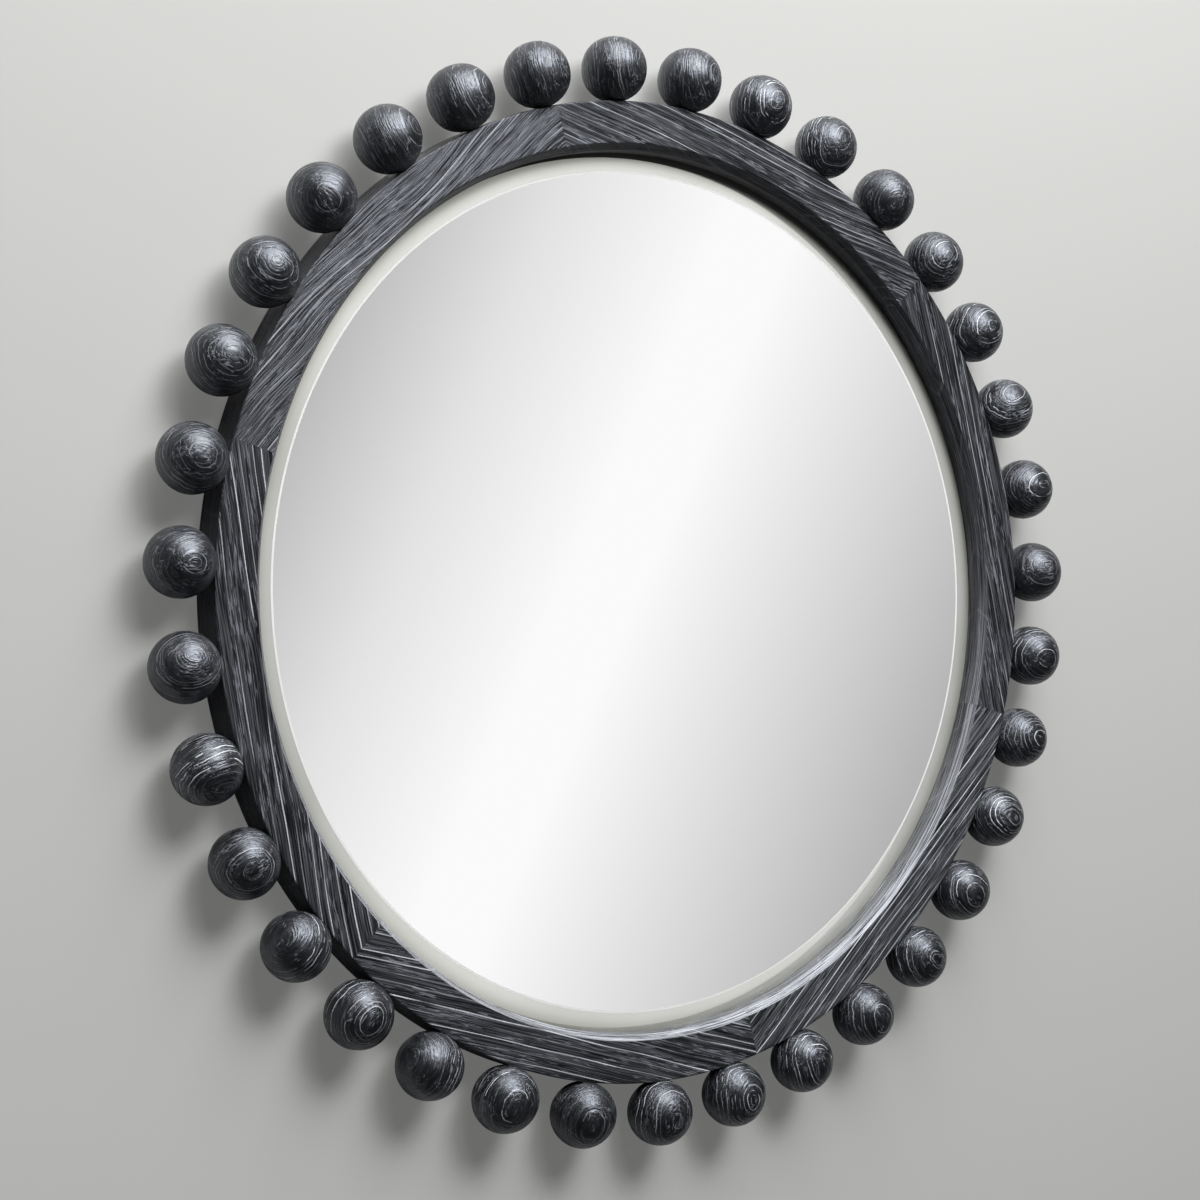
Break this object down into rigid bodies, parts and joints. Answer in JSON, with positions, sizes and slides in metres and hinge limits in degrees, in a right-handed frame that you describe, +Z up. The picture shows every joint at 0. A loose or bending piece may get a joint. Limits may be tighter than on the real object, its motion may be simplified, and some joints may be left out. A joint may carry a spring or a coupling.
{
  "type": "round wall mirror",
  "caption": "Round wall mirror: bevelled glass in a segmented black wooden ring edged all round with turned wooden balls, with swinging ring hangers on its back.",
  "frame": {"origin": "on the wall plane, behind the middle of the mirror", "axes": "+X right seen from the front, +Y from the mirror's front to the wall, +Z up"},
  "size_m": [1.0657, 0.07, 1.0658],
  "materials": {
    "ebonised_teak": "stained black, wire-brushed and limed, satin",
    "beech": "bare",
    "silvered_glass": "polished, with a ground and polished bevel",
    "hardboard": "smooth pressed face",
    "zinc_steel": "zinc-plated",
    "nickel_wire": "nickel-plated",
    "bumper_rubber": "moulded, matt"
  },
  "bodies": {
    "mirror": {"ball_01": "ebonised_teak", "ball_02": "ebonised_teak", "ball_03": "ebonised_teak", "ball_04": "ebonised_teak", "ball_05": "ebonised_teak", "ball_06": "ebonised_teak", "ball_07": "ebonised_teak", "ball_08": "ebonised_teak", "ball_09": "ebonised_teak", "ball_10": "ebonised_teak", "ball_11": "ebonised_teak", "ball_12": "ebonised_teak", "ball_13": "ebonised_teak", "ball_14": "ebonised_teak", "ball_15": "ebonised_teak", "ball_16": "ebonised_teak", "ball_17": "ebonised_teak", "ball_18": "ebonised_teak", "ball_19": "ebonised_teak", "ball_20": "ebonised_teak", "ball_21": "ebonised_teak", "ball_22": "ebonised_teak", "ball_23": "ebonised_teak", "ball_24": "ebonised_teak", "ball_25": "ebonised_teak", "ball_26": "ebonised_teak", "ball_27": "ebonised_teak", "ball_28": "ebonised_teak", "ball_29": "ebonised_teak", "ball_30": "ebonised_teak", "ball_31": "ebonised_teak", "ball_32": "ebonised_teak", "ball_33": "ebonised_teak", "ball_34": "ebonised_teak", "ball_35": "ebonised_teak", "ring_segment_1": "ebonised_teak", "ring_segment_2": "ebonised_teak", "ring_segment_3": "ebonised_teak", "ring_segment_4": "ebonised_teak", "ring_segment_5": "ebonised_teak", "ring_segment_6": "ebonised_teak", "joint_tenons": "beech", "ball_dowels": "beech", "mirror_glass": "silvered_glass", "backing_board": "hardboard", "board_clips": "zinc_steel", "clip_screws": "zinc_steel", "hanger_screws": "zinc_steel", "hanger_strap_left": "zinc_steel", "hanger_strap_right": "zinc_steel", "wall_bumpers": "bumper_rubber"},
    "left_ring": {"hanger_ring_left": "nickel_wire"},
    "right_ring": {"hanger_ring_right": "nickel_wire"}
  },
  "joints": [
    {"name": "left_ring_swing", "type": "hinge", "parent": "mirror", "child": "left_ring", "pos_m": [-0.39209, -0.0037, 0.22637], "axis": [-0.866, 0, 0.5], "range_deg": [-4, 170]},
    {"name": "right_ring_swing", "type": "hinge", "parent": "mirror", "child": "right_ring", "pos_m": [0.39209, -0.0037, 0.22637], "axis": [-0.866, 0, -0.5], "range_deg": [-4, 170]}
  ]
}
